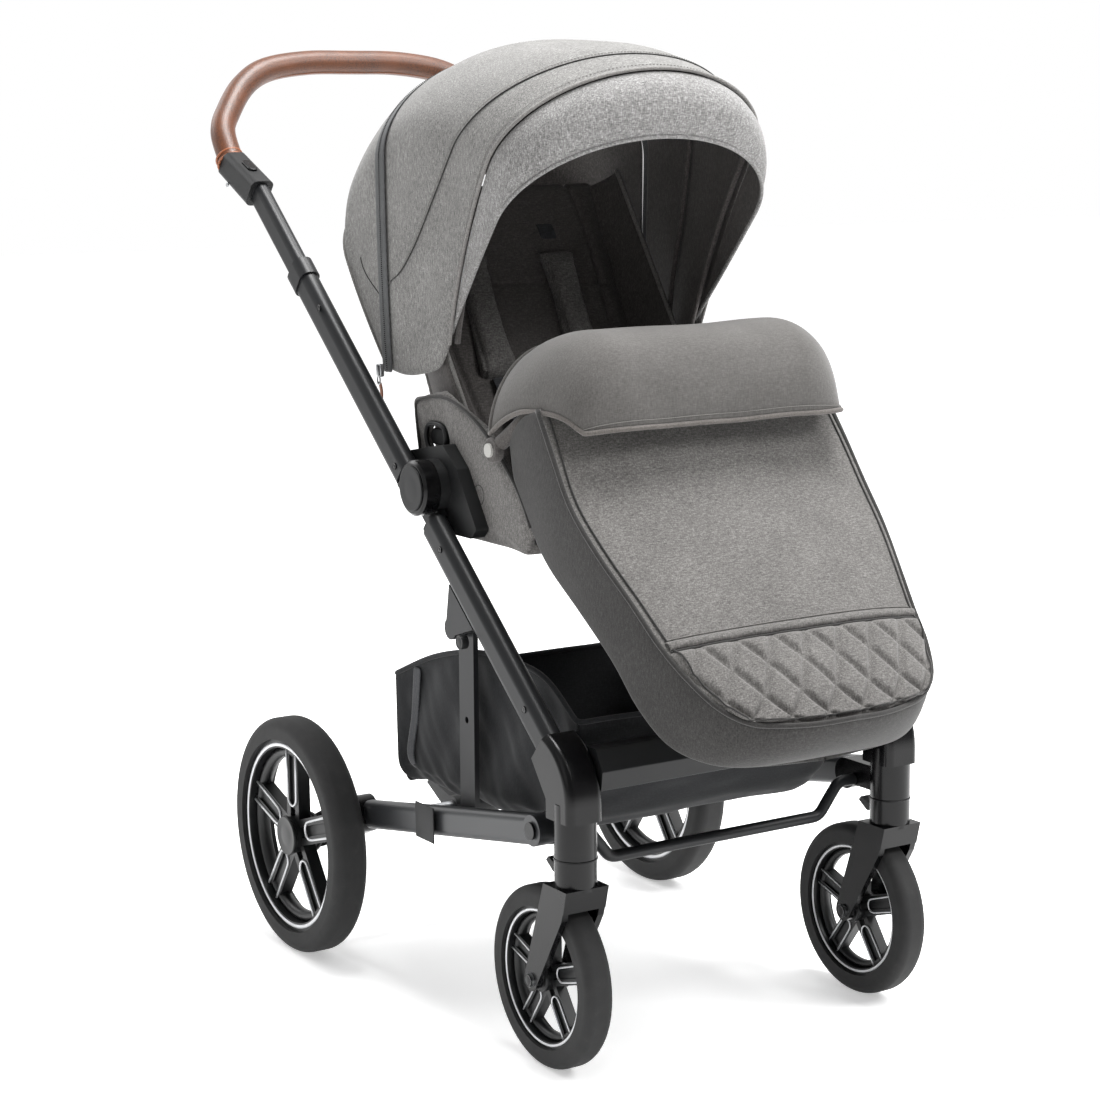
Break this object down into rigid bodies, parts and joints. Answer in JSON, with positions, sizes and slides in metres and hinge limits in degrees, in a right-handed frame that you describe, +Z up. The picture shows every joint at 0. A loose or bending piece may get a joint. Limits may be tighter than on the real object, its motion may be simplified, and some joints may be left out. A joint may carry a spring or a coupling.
{
  "type": "baby stroller",
  "caption": "Folding baby stroller with a telescoping push handle, reclining hooded seat, leg boot, shopping basket, swivelling front casters and larger rear wheels.",
  "frame": {"origin": "middle of the stroller's box, at floor level", "axes": "+Z up, the child faces -Y, +X to the child's left"},
  "size_m": [0.5998, 1.1441, 1.1665],
  "materials": {
    "frame_paint": "satin dark charcoal powder coat",
    "rail_paint": "satin graphite anodised tube",
    "gloss_black": "glossy black moulding",
    "matte_black": "fine-grained black moulding",
    "button_grey": "pale grey moulded button",
    "tyre_black": "matt foam rubber with a fine wavy tread",
    "rim_black": "dark moulded rim with silver outlines",
    "steel": "plated steel",
    "grip_leather": "brown stitched imitation leather",
    "basket_cloth": "black nylon",
    "seat_cloth": "dark seat cloth",
    "melange_cloth": "grey melange woven cloth",
    "boot_cloth": "warm grey melange quilted cloth",
    "flap_cloth": "smooth warm grey cloth"
  },
  "bodies": {
    "chassis": {"main_tube_left": "frame_paint", "main_tube_right": "frame_paint", "knee_left": "gloss_black", "knee_right": "gloss_black", "front_cross_panel": "matte_black", "basket_tube": "frame_paint", "basket": "basket_cloth", "seat_mount_left": "matte_black", "seat_mount_right": "matte_black", "frame_rivets": "steel"},
    "upper_frame": {"upper_tube_left": "frame_paint", "upper_tube_right": "frame_paint", "fold_housing_left": "gloss_black", "fold_housing_right": "gloss_black"},
    "handle": {"inner_tube_left": "frame_paint", "inner_tube_right": "frame_paint", "grip_housing_left": "matte_black", "grip_housing_right": "matte_black", "handle_grip": "grip_leather"},
    "slide_button_left": {"slide_button_left": "matte_black"},
    "slide_button_right": {"slide_button_right": "matte_black"},
    "rear_frame": {"rail_left": "rail_paint", "rail_right": "rail_paint", "suspension_left": "matte_black", "suspension_right": "matte_black", "rear_axle": "steel"},
    "brake_pedal": {"brake_pedal": "matte_black"},
    "struts": {"strut_left": "frame_paint", "strut_right": "frame_paint"},
    "seat": {"seat_shell": "melange_cloth", "seat_pad": "seat_cloth", "harness_buckle": "matte_black", "boot_upper": "boot_cloth"},
    "backrest": {"backrest": "seat_cloth", "harness_pads": "melange_cloth", "hood_rear": "melange_cloth"},
    "hood_front": {"hood_front": "melange_cloth", "visor": "melange_cloth"},
    "legrest": {"legrest": "seat_cloth", "boot_lower": "boot_cloth"},
    "bumper_bar": {"bumper_bar": "grip_leather", "boot_flap": "flap_cloth"},
    "rear_wheel_left": {"rear_tyre_left": "tyre_black", "rear_rim_left": "rim_black"},
    "fork_left": {"fork_left": "gloss_black", "front_axle_left": "steel"},
    "front_wheel_left": {"front_tyre_left": "tyre_black", "front_rim_left": "rim_black"},
    "swivel_lock_left": {"swivel_lock_left": "matte_black"},
    "bumper_button_left": {"bumper_button_left": "button_grey"},
    "seat_release_left": {"seat_release_left": "matte_black"},
    "rear_wheel_right": {"rear_tyre_right": "tyre_black", "rear_rim_right": "rim_black"},
    "fork_right": {"fork_right": "gloss_black", "front_axle_right": "steel"},
    "front_wheel_right": {"front_tyre_right": "tyre_black", "front_rim_right": "rim_black"},
    "swivel_lock_right": {"swivel_lock_right": "matte_black"},
    "bumper_button_right": {"bumper_button_right": "button_grey"},
    "seat_release_right": {"seat_release_right": "matte_black"}
  },
  "joints": [
    {"name": "fold", "type": "hinge", "parent": "chassis", "child": "upper_frame", "pos_m": [0, -0.0542, 0.6352], "axis": [1, 0, 0], "range_deg": [0, 165]},
    {"name": "handle_slide", "type": "slide", "parent": "upper_frame", "child": "handle", "axis": [0, 0.7627, 0.6468], "range_m": [-0.1, 0.03]},
    {"name": "rear_fold", "type": "hinge", "parent": "chassis", "child": "rear_frame", "pos_m": [0, -0.304, 0.276], "axis": [1, 0, 0], "range_deg": [0, 40]},
    {"name": "strut_swing", "type": "hinge", "parent": "rear_frame", "child": "struts", "pos_m": [0, -0.116, 0.25], "axis": [1, 0, 0], "range_deg": [-99, 0]},
    {"name": "brake_pedal_press", "type": "hinge", "parent": "rear_frame", "child": "brake_pedal", "pos_m": [0, 0.221, 0.1535], "axis": [1, 0, 0], "range_deg": [-18, 0]},
    {"name": "seat_lift", "type": "slide", "parent": "chassis", "child": "seat", "axis": [0, 0, 1], "range_m": [0, 0.12]},
    {"name": "recline", "type": "hinge", "parent": "seat", "child": "backrest", "pos_m": [0, -0.004, 0.6], "axis": [1, 0, 0], "range_deg": [-30, 0]},
    {"name": "hood_fold", "type": "hinge", "parent": "backrest", "child": "hood_front", "pos_m": [0, 0.056, 0.757], "axis": [1, 0, 0], "range_deg": [-45, 0]},
    {"name": "legrest_tilt", "type": "hinge", "parent": "seat", "child": "legrest", "pos_m": [0, -0.237, 0.56], "axis": [1, 0, 0], "range_deg": [-20, 0]},
    {"name": "bumper_pull", "type": "slide", "parent": "seat", "child": "bumper_bar", "axis": [0, -0.7389, 0.6739], "range_m": [0, 0.04]},
    {"name": "slide_button_left_press", "type": "slide", "parent": "handle", "child": "slide_button_left", "axis": [0, 0.4095, -0.9123], "range_m": [0, 0.003], "stiffness_N_per_m": 300, "springref_m": -0.002},
    {"name": "rear_wheel_left_spin", "type": "hinge", "parent": "rear_frame", "child": "rear_wheel_left", "pos_m": [0.2769, 0.221, 0.1535], "axis": [1, 0, 0], "continuous": true},
    {"name": "caster_left_swivel", "type": "hinge", "parent": "chassis", "child": "fork_left", "pos_m": [0.2239, -0.364, 0.24], "axis": [0, 0, 1], "continuous": true},
    {"name": "front_wheel_left_spin", "type": "hinge", "parent": "fork_left", "child": "front_wheel_left", "pos_m": [0.2239, -0.3107, 0.1054], "axis": [1, 0, 0], "continuous": true},
    {"name": "swivel_lock_left_lift", "type": "hinge", "parent": "fork_left", "child": "swivel_lock_left", "pos_m": [0.2239, -0.3335, 0.239], "axis": [1, 0, 0], "range_deg": [0, 20]},
    {"name": "bumper_button_left_press", "type": "slide", "parent": "bumper_bar", "child": "bumper_button_left", "axis": [-1, 0, 0], "range_m": [0, 0.003], "stiffness_N_per_m": 300, "springref_m": -0.002},
    {"name": "seat_release_left_slide", "type": "slide", "parent": "seat", "child": "seat_release_left", "axis": [0, 0, 1], "range_m": [0, 0.005], "stiffness_N_per_m": 300, "springref_m": -0.002},
    {"name": "slide_button_right_press", "type": "slide", "parent": "handle", "child": "slide_button_right", "axis": [0, 0.4095, -0.9123], "range_m": [0, 0.003], "stiffness_N_per_m": 300, "springref_m": -0.002},
    {"name": "rear_wheel_right_spin", "type": "hinge", "parent": "rear_frame", "child": "rear_wheel_right", "pos_m": [-0.2769, 0.221, 0.1535], "axis": [1, 0, 0], "continuous": true},
    {"name": "caster_right_swivel", "type": "hinge", "parent": "chassis", "child": "fork_right", "pos_m": [-0.2239, -0.364, 0.24], "axis": [0, 0, 1], "continuous": true},
    {"name": "front_wheel_right_spin", "type": "hinge", "parent": "fork_right", "child": "front_wheel_right", "pos_m": [-0.2239, -0.3107, 0.1054], "axis": [1, 0, 0], "continuous": true},
    {"name": "swivel_lock_right_lift", "type": "hinge", "parent": "fork_right", "child": "swivel_lock_right", "pos_m": [-0.2239, -0.3335, 0.239], "axis": [1, 0, 0], "range_deg": [0, 20]},
    {"name": "bumper_button_right_press", "type": "slide", "parent": "bumper_bar", "child": "bumper_button_right", "axis": [1, 0, 0], "range_m": [0, 0.003], "stiffness_N_per_m": 300, "springref_m": -0.002},
    {"name": "seat_release_right_slide", "type": "slide", "parent": "seat", "child": "seat_release_right", "axis": [0, 0, 1], "range_m": [0, 0.005], "stiffness_N_per_m": 300, "springref_m": -0.002}
  ],
  "couplings": [
    {"joint": "rear_fold", "follows": "fold", "ratio": 0.24242},
    {"joint": "strut_swing", "follows": "fold", "ratio": -0.6}
  ]
}
